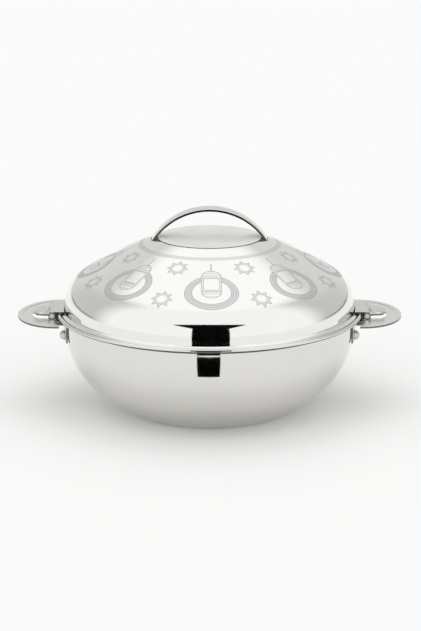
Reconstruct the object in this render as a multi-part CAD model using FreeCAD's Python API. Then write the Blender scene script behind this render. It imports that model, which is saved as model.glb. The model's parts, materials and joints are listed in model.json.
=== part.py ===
import FreeCAD, Part
import os
from math import asin, atan2, cos, degrees, pi, radians, sin, sqrt, tan

V = FreeCAD.Vector

# An insulated casserole in spun stainless steel: a double-walled bowl with two ear handles,
# a double-walled lift-off lid with an arched strap handle, and a sprung lock lever on each ear
# that hooks over the lid's edge. Millimetres, +Z up, +X along the ears, origin under the middle
# of the base.

# Rolled rim. Its radius and height place the bowl, the lid, the ears and the locks.
rim_radius = 150.0
rim_bottom = 94.0
rim_height = 3.8
rim_overhang = 8.3
flare_fillet = 3.0
flange_rim_inset = 2.4
flange_radius = rim_radius - flange_rim_inset

# Bowl
bowl_sheet = 0.8
wall_radius = rim_radius - rim_overhang
wall_upright = 8.64
belly_radius = 80.0
cone_slope = radians(34.6)
foot_land = 11.2
base_recess_depth = 2.0
insulation_gap = 6.0
floor_height = 14.0
mouth_fillet = 1.5
foam_clearance = 0.3
plug_radius = 9.0
plug_flange_radius = 12.0
plug_flange_thickness = 1.2
plug_length = 7.0
plug_hole_clearance = 0.1

# Lid
lid_sheet = 0.7
lid_wall_clearance = 0.05
lid_wall_radius = wall_radius + lid_wall_clearance
lid_seat_clearance = 0.05
lid_edge_overhang = 3.55
lid_edge_radius = lid_wall_radius + lid_edge_overhang
lid_edge_fillet = 2.6
lid_edge_height = 1.4
shoulder_above_rim = 8.1
shoulder_height = rim_bottom + shoulder_above_rim
shoulder_radius = 37.4
lid_slope = radians(28.5)
crown_start_radius = 98.0
crown_radius = 350.0
disc_radius = 50.7
disc_thickness = 1.2
disc_proud = 0.3
disc_clearance = 0.2
disc_ledge = 4.5
well_depth = 2.4
ceiling_drop = 13.3
skirt_clearance = 0.8
skirt_depth = 8.0
skirt_fold_radius = 2.0
fitting_clearance = 0.6
pocket_clearance = 0.25

# Lid handle
handle_radius = 66.6
handle_rise = 28.66
handle_width = 17.7
handle_thickness = 2.5
handle_bend_radius = 0.75
handle_foot_end = 34.5
handle_slot_clearance = 0.3
handle_edge_round = 0.6
screw_radius = 2.0
screw_head_radius = 3.5
screw_head_height = 1.8
screw_head_round = 0.5
screw_place_x = 39.5
screw_spacing = 9.0
screw_end_past_nut = 0.8
nut_flats = 7.0
nut_height = 3.2

# Ear handles
ear_centre_inset = 2.6
ear_centre = rim_radius - ear_centre_inset
ear_half_length = 40.7
ear_half_width = 52.1
ear_drop = 1.6
ear_top = rim_bottom - ear_drop
ear_thickness = 1.5
ear_rim_gap = 3.2
ear_tongue_half_width = 33.0
ear_border_width = 5.0
ear_border_height = 0.4
bracket_thickness = 1.5
bracket_half_width = 36.0
bracket_depth = 22.6
bracket_bottom = rim_bottom - bracket_depth
bracket_bend = 2.0
bracket_wall_clearance = 0.1
bracket_past_rim = 3.0
bracket_reach = rim_radius + bracket_past_rim
rivet_half_spacing = 22.5
rivet_depth = 17.4
rivet_height = rim_bottom - rivet_depth
rivet_head_radius = 4.7
rivet_head_height = 4.6
rivet_shank_radius = 2.5
rivet_tail_radius = 4.0
rivet_tail_height = 1.4
washer_radius = 5.0
washer_thickness = 1.0
washer_clearance = 0.05
rivet_hole_clearance = 0.1

# Lock levers
pivot_past_rim = 3.2
pivot_radius = rim_radius + pivot_past_rim
pivot_rise = 1.7
pivot_height = rim_bottom + pivot_rise
pin_radius = 1.25
pin_clearance = 0.05
pin_head_radius = 2.2
pin_head_height = 0.9
knuckle_radius = 2.7
knuckle_half_width = 21.5
lug_clearance = 0.3
lug_thickness = 1.2
lug_radius = 3.4
claw_sheet = 1.3
claw_rise = 2.4
claw_underside = pivot_height + claw_rise
claw_wall_gap = 0.9
claw_back_step = 1.8
claw_back = pivot_radius + claw_back_step
neck_half_width = 18.4
neck_sheet = 1.5
neck_rise = 0.7
neck_top = pivot_height + neck_rise
neck_start_step = 3.4
neck_start = pivot_radius + neck_start_step
pad_reach = 11.2
pad_centre = pivot_radius + pad_reach
pad_half_length = 8.4
pad_half_width = 18.8
pad_height = 1.8
opening_clearance = 0.9
spring_wire = 0.7
spring_turns = 5.75
spring_pitch = 1.25
spring_coil_clearance = 0.15
spring_window_clearance = 0.6
spring_leg = 4.2
spring_anchor_leg = 5.6
spring_slot_half_width = 0.8

full_turn = 360


def outline(*steps):
    """A closed face in the XZ plane from (r, z) points; a pair of points is an arc through
    the first to the second."""
    start = steps[0]
    here = start
    edges = []
    for step in steps[1:] + (start,):
        if isinstance(step[0], tuple):
            through, end = step
            arc = Part.Arc(V(here[0], 0, here[1]), V(through[0], 0, through[1]), V(end[0], 0, end[1]))
            edges.append(arc.toShape())
            here = end
        elif step != here:
            edges.append(Part.makeLine(V(here[0], 0, here[1]), V(step[0], 0, step[1])))
            here = step
    return Part.Face(Part.Wire(edges))


def spun(*steps):
    """A turned solid about +Z."""
    return outline(*steps).revolve(V(0, 0, 0), V(0, 0, 1), full_turn)


def arc_step(centre, radius, angle_from, angle_to):
    """An arc step of an outline, with its angles counted from +r towards +z."""
    middle = (angle_from + angle_to) / 2
    through = (centre[0] + radius * cos(middle), centre[1] + radius * sin(middle))
    end = (centre[0] + radius * cos(angle_to), centre[1] + radius * sin(angle_to))
    return (through, end)


def drum(radius, length, base, direction=V(0, 0, 1)):
    return Part.makeCylinder(radius, length, base, direction)


def block(low, high):
    return Part.makeBox(high[0] - low[0], high[1] - low[1], high[2] - low[2], V(*low))


def flipped(step_list):
    """The same path walked the other way, for the inner side of a sheet."""
    points = [step if not isinstance(step[0], tuple) else step[1] for step in step_list]
    back = [points[-1]]
    for index in range(len(step_list) - 1, 0, -1):
        step = step_list[index]
        if isinstance(step[0], tuple):
            back.append((step[0], points[index - 1]))
        else:
            back.append(points[index - 1])
    return back


def save(name, shape):
    shape.exportStep(os.path.join("parts", name + ".step"))


# The bowl's section: a cone from the foot, one belly arc, and an upright wall up to the rim
belly_centre_r = wall_radius - belly_radius
belly_centre_z = rim_bottom - flare_fillet - wall_upright
foot_radius = belly_centre_r + (belly_radius / cos(cone_slope) - belly_centre_z) / tan(cone_slope)
base_recess_radius = foot_radius - foot_land - base_recess_depth
cone_angle_on_arc = cone_slope - pi / 2


def bowl_path(inset, floor):
    """The bowl's section, moved inward by inset, from its floor's edge up to the wall."""
    radius = belly_radius - inset
    low_r = belly_centre_r + radius * cos(cone_angle_on_arc)
    low_z = belly_centre_z + radius * sin(cone_angle_on_arc)
    foot = (low_r - (low_z - floor) / tan(cone_slope), floor)
    centre = (belly_centre_r, belly_centre_z)
    return [foot, (low_r, low_z), arc_step(centre, radius, cone_angle_on_arc, 0)]


ledge_height = rim_bottom + 2 * bowl_sheet
bead_radius = rim_height / 2
bead_centre = (rim_radius - bead_radius, rim_bottom + bead_radius)
flare_centre = (wall_radius + flare_fillet, rim_bottom - flare_fillet)


def make_outer_bowl():
    """The outer shell, with its dished base and the rim rolled over the inner bowl's flange."""
    recess_edge = base_recess_radius + base_recess_depth
    inner_recess_edge = recess_edge - bowl_sheet / tan(3 * pi / 8)
    outside = bowl_path(0, 0)
    inside = flipped(bowl_path(bowl_sheet, bowl_sheet))
    shell = spun(
        (0, base_recess_depth),
        (base_recess_radius, base_recess_depth),
        (recess_edge, 0),
        *outside,
        (wall_radius, flare_centre[1]),
        arc_step(flare_centre, flare_fillet, pi, pi / 2),
        (bead_centre[0], rim_bottom),
        arc_step(bead_centre, bead_radius, -pi / 2, pi / 2),
        arc_step(bead_centre, bead_radius, pi / 2, pi),
        (bead_centre[0] - bead_radius, ledge_height),
        (flange_radius, ledge_height),
        (flange_radius, rim_bottom + bowl_sheet),
        (flare_centre[0], rim_bottom + bowl_sheet),
        arc_step(flare_centre, flare_fillet + bowl_sheet, pi / 2, pi),
        *inside,
        (inner_recess_edge + bowl_sheet, bowl_sheet),
        (inner_recess_edge + bowl_sheet - base_recess_depth, base_recess_depth + bowl_sheet),
        (0, base_recess_depth + bowl_sheet),
    )
    hole = drum(plug_radius + plug_hole_clearance, base_recess_depth + bowl_sheet, V(0, 0, 0))
    shell = shell.cut(hole)
    for tool in rivet_bores(rivet_shank_radius + rivet_hole_clearance):
        shell = shell.cut(tool)
    return shell


inner_inset = bowl_sheet + insulation_gap
mouth_radius = wall_radius - inner_inset - bowl_sheet
mouth_centre = (wall_radius - inner_inset + mouth_fillet, rim_bottom + bowl_sheet - mouth_fillet)


def make_inner_bowl():
    """The food bowl, with a flat flange that the rolled rim grips and the lid rests on."""
    outside = bowl_path(inner_inset, floor_height)
    inside = flipped(bowl_path(inner_inset + bowl_sheet, floor_height + bowl_sheet))
    return spun(
        (0, floor_height),
        *outside,
        (wall_radius - inner_inset, mouth_centre[1]),
        arc_step(mouth_centre, mouth_fillet, pi, pi / 2),
        (flange_radius, rim_bottom + bowl_sheet),
        (flange_radius, ledge_height),
        (mouth_centre[0], ledge_height),
        arc_step(mouth_centre, mouth_fillet + bowl_sheet, pi / 2, pi),
        *inside,
        (0, floor_height + bowl_sheet),
    )


def make_bowl_foam():
    """Rigid foam between the two bowls, with room for the rivets' tails and the plug."""
    outside = bowl_path(bowl_sheet + foam_clearance, bowl_sheet + foam_clearance)
    inside = flipped(bowl_path(inner_inset - foam_clearance, floor_height - foam_clearance))
    lift = base_recess_depth + bowl_sheet + foam_clearance
    recess_edge = base_recess_radius + base_recess_depth + bowl_sheet + foam_clearance
    top = flare_centre[1]
    foam = spun(
        (0, lift),
        (recess_edge - base_recess_depth, lift),
        (recess_edge, bowl_sheet + foam_clearance),
        *outside,
        (wall_radius - bowl_sheet - foam_clearance, top),
        (wall_radius - inner_inset + foam_clearance, top),
        *inside,
        (0, floor_height - foam_clearance),
    )
    plug_room = plug_radius + foam_clearance
    plug_top = base_recess_depth - plug_flange_thickness + plug_length + foam_clearance
    foam = foam.cut(drum(plug_room, plug_top, V(0, 0, 0)))
    for tool in rivet_bores(washer_radius + foam_clearance):
        foam = foam.cut(tool)
    return foam


def make_filler_plug():
    """The plastic plug in the hole that the foam was poured through."""
    under = base_recess_depth - plug_flange_thickness
    return spun(
        (0, under),
        (plug_flange_radius, under),
        (plug_flange_radius, base_recess_depth),
        (plug_radius, base_recess_depth),
        (plug_radius, under + plug_length),
        (0, under + plug_length),
    )


# The lid's section: a short wall, a shoulder arc, a cone, and a crown arc up to the disc's seat
shoulder_centre = (lid_wall_radius - shoulder_radius, shoulder_height)
crown_angle_on_arc = pi / 2 - lid_slope
cone_top_r = shoulder_centre[0] + shoulder_radius * cos(crown_angle_on_arc)
cone_top_z = shoulder_centre[1] + shoulder_radius * sin(crown_angle_on_arc)
crown_start_z = cone_top_z + (cone_top_r - crown_start_radius) * tan(lid_slope)
crown_centre = (
    crown_start_radius - crown_radius * cos(crown_angle_on_arc),
    crown_start_z - crown_radius * sin(crown_angle_on_arc),
)
seat_radius = disc_radius + disc_clearance


def crown_height(inset, radius):
    arc = crown_radius - inset
    return crown_centre[1] + sqrt(arc ** 2 - (radius - crown_centre[0]) ** 2)


def lid_path(inset, end_angle):
    """The lid's section, moved inward by inset, from the top of its wall to its crown."""
    shoulder = shoulder_radius - inset
    crown = crown_radius - inset
    crown_low = (
        crown_centre[0] + crown * cos(crown_angle_on_arc),
        crown_centre[1] + crown * sin(crown_angle_on_arc),
    )
    return [
        (lid_wall_radius - inset, shoulder_height),
        arc_step(shoulder_centre, shoulder, 0, crown_angle_on_arc),
        crown_low,
        arc_step(crown_centre, crown, crown_angle_on_arc, end_angle),
    ]


def crown_angle_at_radius(inset, radius):
    """The crown arc's angle where it reaches a radius."""
    return atan2(crown_height(inset, radius) - crown_centre[1], radius - crown_centre[0])


def crown_angle_at_height(inset, height):
    """The crown arc's angle where it reaches a height."""
    return asin((height - crown_centre[1]) / (crown_radius - inset))


lid_bottom = ledge_height + lid_seat_clearance
edge_top = lid_bottom + lid_edge_height
edge_centre = (lid_wall_radius + lid_edge_fillet, edge_top + lid_edge_fillet)
liner_flange_top = lid_bottom + lid_sheet
liner_flange_radius = lid_edge_radius - lid_sheet
crown_edge_height = crown_height(0, seat_radius)
disc_top = crown_edge_height + disc_proud
seat_height = disc_top - disc_thickness
ledge_radius = seat_radius - disc_ledge
well_height = seat_height - well_depth
well_radius = ledge_radius - well_depth
crown_underside = well_height - lid_sheet
liner_ceiling = crown_underside - ceiling_drop

# The strap handle's arc, and the tight bend that turns each foot in under the well
handle_top = disc_top + handle_rise
handle_centre_z = handle_top - handle_radius
handle_inner_radius = handle_radius - handle_thickness
bend_centre_z = crown_underside + handle_bend_radius
bend_centre_x = sqrt((handle_inner_radius - handle_bend_radius) ** 2
                     - (bend_centre_z - handle_centre_z) ** 2)
bend_angle = atan2(bend_centre_z - handle_centre_z, bend_centre_x)
bend_outer_radius = handle_bend_radius + handle_thickness
slot_inner = (sqrt(handle_inner_radius ** 2 - (disc_top - handle_centre_z) ** 2)
              - handle_slot_clearance)
slot_outer = bend_centre_x + bend_outer_radius + handle_slot_clearance
pocket_radius = slot_outer + pocket_clearance


def screw_places():
    """The four handle screws, two on each foot."""
    places = []
    for side in (-1, 1):
        for row in (-1, 1):
            places.append((side * screw_place_x, row * screw_spacing / 2))
    return places


def make_lid_shell():
    """The lid's outer shell, with a well for the handle's screws, a seat for the disc, and its
    edge flared and folded round the liner's flange."""
    outside = lid_path(0, crown_angle_at_radius(0, seat_radius))
    inner_end = crown_angle_at_height(lid_sheet, seat_height - lid_sheet)
    inside = flipped(lid_path(lid_sheet, inner_end))
    nose_r = lid_edge_radius - lid_sheet / 2
    shell = spun(
        (liner_flange_radius, lid_bottom),
        (lid_edge_radius, lid_bottom),
        (lid_edge_radius, edge_top - lid_sheet / 2),
        (nose_r, edge_top),
        (edge_centre[0], edge_top),
        arc_step(edge_centre, lid_edge_fillet, -pi / 2, -pi),
        *outside,
        (seat_radius, seat_height),
        (ledge_radius, seat_height),
        (well_radius, well_height),
        (0, well_height),
        (0, crown_underside),
        (well_radius + lid_sheet / 2, crown_underside),
        (ledge_radius + lid_sheet / 2, seat_height - lid_sheet),
        *inside,
        (lid_wall_radius - lid_sheet, edge_centre[1]),
        arc_step(edge_centre, lid_edge_fillet + lid_sheet, -pi, -pi / 2),
        (liner_flange_radius, liner_flange_top),
    )
    half_width = handle_width / 2 + handle_slot_clearance
    for side in (-1, 1):
        ends = sorted((side * slot_inner, side * slot_outer))
        shell = shell.cut(block((ends[0], -half_width, crown_underside),
                                (ends[1], half_width, handle_top)))
    for x, y in screw_places():
        shell = shell.cut(drum(screw_radius, 2 * lid_sheet, V(x, y, crown_underside - lid_sheet / 2)))
    return shell


skirt_radius = mouth_radius - skirt_clearance
skirt_centre = (skirt_radius + mouth_fillet, lid_bottom - mouth_fillet)
skirt_bottom = lid_bottom - skirt_depth
fold_centre = (skirt_radius - skirt_fold_radius, skirt_bottom + skirt_fold_radius)
liner_visible_inset = lid_wall_radius - (skirt_radius - 2 * skirt_fold_radius)
liner_foam_inset = liner_visible_inset - lid_sheet


def make_lid_liner():
    """The lid's inner skin: a flange, a skirt that drops into the mouth, and a dome."""
    ceiling_angle = crown_angle_at_height(liner_visible_inset, liner_ceiling)
    top_angle = crown_angle_at_height(liner_foam_inset, liner_ceiling + lid_sheet)
    visible = flipped(lid_path(liner_visible_inset, ceiling_angle))
    hidden = lid_path(liner_foam_inset, top_angle)
    return spun(
        (0, liner_ceiling),
        *visible,
        (skirt_radius - 2 * skirt_fold_radius, fold_centre[1]),
        arc_step(fold_centre, skirt_fold_radius, -pi, 0),
        (skirt_radius, skirt_centre[1]),
        arc_step(skirt_centre, mouth_fillet, pi, pi / 2),
        (liner_flange_radius, lid_bottom),
        (liner_flange_radius, liner_flange_top),
        (skirt_centre[0], liner_flange_top),
        arc_step(skirt_centre, mouth_fillet + lid_sheet, pi / 2, pi),
        (skirt_radius - lid_sheet, fold_centre[1]),
        arc_step(fold_centre, skirt_fold_radius - lid_sheet, 0, -pi),
        *hidden,
        (0, liner_ceiling + lid_sheet),
    )


foot_underside = crown_underside - handle_thickness
nut_underside = foot_underside - nut_height
screw_end = nut_underside - screw_end_past_nut


def make_lid_foam():
    """Rigid foam between the lid's skins, with a flat pocket under the handle's feet and nuts."""
    upper_inset = lid_sheet + foam_clearance
    lower_inset = liner_foam_inset - foam_clearance
    lower_top = liner_ceiling + lid_sheet + foam_clearance
    upper = lid_path(upper_inset, crown_angle_at_radius(upper_inset, pocket_radius))
    lower = flipped(lid_path(lower_inset, crown_angle_at_height(lower_inset, lower_top)))
    foot = edge_centre[1]
    return spun(
        (0, lower_top),
        *lower,
        (lid_wall_radius - lower_inset, foot),
        (lid_wall_radius - upper_inset, foot),
        *upper,
        (pocket_radius, screw_end - fitting_clearance),
        (0, screw_end - fitting_clearance),
    )


def make_lid_disc():
    """The flat satin disc that closes the well over the screws."""
    return drum(disc_radius, disc_thickness, V(0, 0, seat_height))


def make_lid_handle():
    """The strap: one long arc, a tight bend at each end, and a flat foot under the well."""
    centre = (0, handle_centre_z)
    right_bend = (bend_centre_x, bend_centre_z)
    left_bend = (-bend_centre_x, bend_centre_z)
    strap = outline(
        (handle_foot_end, crown_underside),
        (handle_foot_end, foot_underside),
        (bend_centre_x, foot_underside),
        arc_step(right_bend, bend_outer_radius, -pi / 2, bend_angle),
        arc_step(centre, handle_radius, bend_angle, pi - bend_angle),
        arc_step(left_bend, bend_outer_radius, pi - bend_angle, 3 * pi / 2),
        (-handle_foot_end, foot_underside),
        (-handle_foot_end, crown_underside),
        (-bend_centre_x, crown_underside),
        arc_step(left_bend, handle_bend_radius, 3 * pi / 2, pi - bend_angle),
        arc_step(centre, handle_inner_radius, pi - bend_angle, bend_angle),
        arc_step(right_bend, handle_bend_radius, bend_angle, -pi / 2),
    ).extrude(V(0, handle_width, 0))
    strap.translate(V(0, -handle_width / 2, 0))
    long_edges = []
    for edge in strap.Edges:
        curve = edge.Curve
        if hasattr(curve, "Radius") and abs(curve.Radius - handle_radius) < handle_edge_round / 2:
            long_edges.append(edge)
    strap = strap.makeFillet(handle_edge_round, long_edges)
    for x, y in screw_places():
        strap = strap.cut(drum(screw_radius, 2 * handle_thickness,
                               V(x, y, foot_underside - handle_thickness / 2)))
    return strap


def make_handle_screws():
    """Four pan-head screws, heads up in the well."""
    screws = []
    for x, y in screw_places():
        screw = spun(
            (0, screw_end),
            (screw_radius, screw_end),
            (screw_radius, well_height),
            (screw_head_radius, well_height),
            (screw_head_radius, well_height + screw_head_height - screw_head_round),
            (screw_head_radius - screw_head_round, well_height + screw_head_height),
            (0, well_height + screw_head_height),
        )
        screw.translate(V(x, y, 0))
        screws.append(screw)
    return Part.makeCompound(screws)


def make_handle_nuts():
    """The four hexagon nuts under the handle's feet."""
    corner_radius = nut_flats / 2 / cos(pi / 6)
    nuts = []
    for x, y in screw_places():
        corners = []
        for index in range(7):
            angle = index * pi / 3
            corners.append(V(x + corner_radius * cos(angle), y + corner_radius * sin(angle), nut_underside))
        nut = Part.Face(Part.makePolygon(corners)).extrude(V(0, 0, nut_height))
        nuts.append(nut.cut(drum(screw_radius, nut_height, V(x, y, nut_underside))))
    return Part.makeCompound(nuts)


# Ears. Each piece is made on the right side and turned half a turn for the left.
ear_underside = ear_top - ear_thickness
bracket_inner = wall_radius + bracket_wall_clearance
rivet_turns = [degrees(asin(side * rivet_half_spacing / wall_radius)) for side in (-1, 1)]
wall_at_washer = belly_centre_r + sqrt((belly_radius - bowl_sheet) ** 2
                                       - (rivet_height - washer_radius - belly_centre_z) ** 2)
washer_face = sqrt(wall_at_washer ** 2 - washer_radius ** 2) - washer_clearance
window_half = spring_turns * spring_pitch / 2 + spring_wire / 2 + spring_window_clearance


def half_ellipse(grow, bottom, height):
    """The ear's half-oval outline, made smaller by a negative grow, as an upright solid."""
    shape = upright_oval(ear_centre, ear_half_length + grow, ear_half_width + grow, bottom, height)
    reach = ear_half_width + abs(grow) + ear_rim_gap
    keep = block((0, -reach, bottom), (ear_centre + ear_half_length + reach, reach, bottom + height))
    return shape.common(keep)


def upright_oval(centre_x, half_x, half_y, bottom, height):
    """An oval slab with its long way along X or Y."""
    if half_x >= half_y:
        major, minor, edge = half_x, half_y, V(centre_x + half_x, 0, bottom)
        side = V(centre_x, half_y, bottom)
    else:
        major, minor, edge = half_y, half_x, V(centre_x, half_y, bottom)
        side = V(centre_x - half_x, 0, bottom)
    curve = Part.Ellipse(edge, side, V(centre_x, 0, bottom))
    return Part.Face(Part.Wire(curve.toShape())).extrude(V(0, 0, height))


def rivet_bores(radius):
    """Radial drills at the rivets of both ears."""
    tools = []
    for side in (0, full_turn / 2):
        for turn in rivet_turns:
            tool = drum(radius, rivet_head_height + washer_radius + bracket_thickness + insulation_gap,
                        V(wall_radius - inner_inset + foam_clearance, 0, rivet_height), V(1, 0, 0))
            tool.rotate(V(0, 0, 0), V(0, 0, 1), side + turn)
            tools.append(tool)
    return tools


def lever_opening(bottom, height):
    """The oval that the thumb pad dips through, opened towards the pivot for the neck."""
    oval = upright_oval(pad_centre, pad_half_length + opening_clearance,
                        pad_half_width + opening_clearance, bottom, height)
    neck = neck_half_width + opening_clearance
    throat = block((pivot_radius + opening_clearance, -neck, bottom), (pad_centre, neck, bottom + height))
    return oval.fuse(throat)


def make_ear_plate():
    """The half-oval handle plate, with its raised border, the tongue that lies on the bracket,
    and two upright lugs for the lock's pin."""
    reach = rim_radius + ear_rim_gap
    plate = half_ellipse(0, ear_underside, ear_thickness)
    clear_of_rim = drum(reach, 3 * ear_thickness, V(0, 0, ear_underside - ear_thickness))
    plate = plate.cut(clear_of_rim)
    tongue = block((0, -ear_tongue_half_width, ear_underside),
                   (pivot_radius, ear_tongue_half_width, ear_top))
    tongue = tongue.cut(drum(bracket_inner + bracket_thickness, 3 * ear_thickness,
                             V(0, 0, ear_underside - ear_thickness)))
    plate = plate.fuse(tongue)
    border = half_ellipse(0, ear_top, ear_border_height).cut(
        half_ellipse(-ear_border_width, ear_top, ear_border_height)).cut(
        drum(reach, ear_border_height, V(0, 0, ear_top)))
    plate = plate.fuse(border)
    lug_inner = knuckle_half_width + lug_clearance
    for side in (-1, 1):
        ends = sorted((side * lug_inner, side * (lug_inner + lug_thickness)))
        eye = drum(lug_radius, lug_thickness, V(pivot_radius, ends[0], pivot_height), V(0, 1, 0))
        web = block((pivot_radius - lug_radius, ends[0], ear_underside),
                    (pivot_radius + lug_radius, ends[1], pivot_height))
        clear = drum(rim_radius + ear_rim_gap / 8, rim_height + ear_thickness, V(0, 0, ear_top + ear_border_height))
        plate = plate.fuse(eye.fuse(web).cut(clear))
    plate = plate.cut(lever_opening(ear_underside, ear_thickness))
    plate = plate.cut(drum(pin_radius, 2 * ear_half_width, V(pivot_radius, -ear_half_width, pivot_height),
                           V(0, 1, 0)))
    return plate.removeSplitter()


def make_ear_bracket():
    """The curved plate riveted to the wall, bent out at its top to carry the ear plate."""
    outer = bracket_inner + bracket_thickness
    bend = (outer + bracket_bend, ear_underside - bracket_thickness - bracket_bend)
    ring = spun(
        (bracket_inner, bracket_bottom),
        (outer, bracket_bottom),
        (outer, bend[1]),
        arc_step(bend, bracket_bend, pi, pi / 2),
        (bracket_reach + bracket_thickness, ear_underside - bracket_thickness),
        (bracket_reach + bracket_thickness, ear_underside),
        (bend[0], ear_underside),
        arc_step(bend, bracket_bend + bracket_thickness, pi / 2, pi),
    )
    keep = block((0, -bracket_half_width, bracket_bottom), (bracket_reach, bracket_half_width, ear_underside))
    bracket = ring.common(keep)
    for tool in rivet_bores(rivet_shank_radius + rivet_hole_clearance):
        bracket = bracket.cut(tool)
    return bracket


def make_ear_rivets():
    """Two domed rivets through the bracket and the outer shell, clinched over washers."""
    head_base = bracket_inner + bracket_thickness
    tail_base = washer_face - washer_thickness
    dome_radius = (rivet_head_radius ** 2 + rivet_head_height ** 2) / (2 * rivet_head_height)
    dome_angle = asin(rivet_head_radius / dome_radius)
    rivets = []
    for turn in rivet_turns:
        section = outline(
            (0, -rivet_tail_height),
            (rivet_tail_radius, -rivet_tail_height),
            (rivet_tail_radius, 0),
            (rivet_shank_radius, 0),
            (rivet_shank_radius, head_base - tail_base),
            (rivet_head_radius, head_base - tail_base),
            arc_step((0, head_base - tail_base + rivet_head_height - dome_radius), dome_radius,
                     pi / 2 - dome_angle, pi / 2),
        )
        rivet = section.revolve(V(0, 0, 0), V(0, 0, 1), full_turn)
        rivet.rotate(V(0, 0, 0), V(0, 1, 0), full_turn / 4)
        rivet.translate(V(tail_base, 0, rivet_height))
        rivet.rotate(V(0, 0, 0), V(0, 0, 1), turn)
        rivets.append(rivet)
    return Part.makeCompound(rivets)


def make_rivet_washers():
    """The washers that the rivets' tails close on, inside the double wall."""
    base = washer_face - washer_thickness
    washers = []
    for turn in rivet_turns:
        washer = drum(washer_radius, washer_thickness, V(base, 0, rivet_height), V(1, 0, 0))
        washer = washer.cut(drum(rivet_shank_radius, washer_thickness, V(base, 0, rivet_height), V(1, 0, 0)))
        washer.rotate(V(0, 0, 0), V(0, 0, 1), turn)
        washers.append(washer)
    return Part.makeCompound(washers)


claw_reach = lid_wall_radius + claw_wall_gap
pad_bottom = neck_top - neck_sheet


def make_lock_lever():
    """One pressing: the claw over the lid's edge, the rolled knuckle, the neck and the pad."""
    claw_top = claw_underside + claw_sheet
    side_view = outline(
        (claw_reach - claw_sheet - knuckle_radius, claw_underside),
        (claw_reach - claw_sheet - knuckle_radius, claw_top),
        (claw_back, claw_top),
        (neck_start, neck_top),
        (pad_centre, neck_top),
        (pad_centre, pad_bottom),
        (pivot_radius, pivot_height - knuckle_radius / 2),
        (pivot_radius - knuckle_radius / 2, claw_underside),
    )
    blade = side_view.extrude(V(0, 2 * knuckle_half_width, 0))
    blade.translate(V(0, -knuckle_half_width, 0))
    blade = blade.cut(drum(claw_reach, 2 * claw_top, V(0, 0, 0)))
    for side in (-1, 1):
        ends = sorted((side * neck_half_width, side * (knuckle_half_width + claw_sheet)))
        blade = blade.cut(block((pivot_radius + knuckle_radius, ends[0], ear_underside),
                                (pad_centre + pad_half_length, ends[1], claw_top + claw_sheet)))
    knuckle = drum(knuckle_radius, 2 * knuckle_half_width,
                   V(pivot_radius, -knuckle_half_width, pivot_height), V(0, 1, 0))
    pad = upright_oval(pad_centre, pad_half_length, pad_half_width, pad_bottom, neck_sheet)
    dome = Part.makeSphere(1, V(0, 0, 0))
    stretch = FreeCAD.Matrix()
    stretch.scale(pad_half_length - claw_sheet, pad_half_width - claw_sheet, pad_height)
    dome = dome.transformGeometry(stretch)
    dome.translate(V(pad_centre, 0, neck_top))
    dome = dome.common(block((pad_centre - pad_half_length, -pad_half_width, neck_top - neck_sheet / 2),
                             (pad_centre + pad_half_length, pad_half_width, neck_top + 2 * pad_height)))
    lever = blade.fuse([knuckle, pad, dome])
    bore = drum(pin_radius + pin_clearance, 4 * knuckle_half_width,
                V(pivot_radius, -2 * knuckle_half_width, pivot_height), V(0, 1, 0))
    window_radius = pin_radius + spring_coil_clearance + spring_wire + spring_window_clearance
    window = drum(window_radius, 2 * window_half, V(pivot_radius, -window_half, pivot_height), V(0, 1, 0))
    under_window = block((pivot_radius - knuckle_radius, -window_half, ear_underside),
                         (pivot_radius + knuckle_radius + spring_wire, window_half, pivot_height))
    leg_y = -spring_turns * spring_pitch / 2
    leg_slot = block((pivot_radius, leg_y - spring_slot_half_width, pad_bottom - neck_sheet),
                     (pivot_radius + spring_leg + opening_clearance, leg_y + spring_slot_half_width,
                      claw_underside))
    return lever.cut(bore).cut(window).cut(under_window).cut(leg_slot)


def make_lock_pin():
    """The pivot pin, peened over outside both lugs."""
    half = knuckle_half_width + lug_clearance + lug_thickness
    pin = drum(pin_radius, 2 * half, V(pivot_radius, -half, pivot_height), V(0, 1, 0))
    for side in (-1, 1):
        head = drum(pin_head_radius, pin_head_height, V(pivot_radius, side * half, pivot_height),
                    V(0, side, 0))
        pin = pin.fuse(head)
    return pin.removeSplitter()


def make_lock_spring():
    """A torsion spring round the pin. Its free leg lies under the neck, and its anchored leg
    goes down through the ear plate's opening and bears on the edge there."""
    mean = pin_radius + spring_coil_clearance + spring_wire / 2
    length = spring_turns * spring_pitch
    path = Part.makeHelix(spring_pitch, length, mean)
    section = Part.Wire(Part.makeCircle(spring_wire / 2, V(mean, 0, 0), V(0, 1, 0)))
    coil = Part.Wire(path.Edges).makePipeShell([section], True, True)
    coil.rotate(V(0, 0, 0), V(0, 0, 1), full_turn / 4)
    free_leg = drum(spring_wire / 2, spring_leg, V(0, mean, 0), V(1, 0, 0))
    anchored_leg = drum(spring_wire / 2, spring_anchor_leg, V(mean, 0, length), V(0, 1, 0))
    spring = coil.fuse([free_leg, anchored_leg])
    spring.rotate(V(0, 0, 0), V(1, 0, 0), -full_turn / 4)
    spring.translate(V(pivot_radius, -length / 2, pivot_height))
    return spring.removeSplitter()


def turned(shape):
    """The same piece on the opposite ear."""
    copy = shape.copy()
    copy.rotate(V(0, 0, 0), V(0, 0, 1), full_turn / 2)
    return copy


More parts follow.
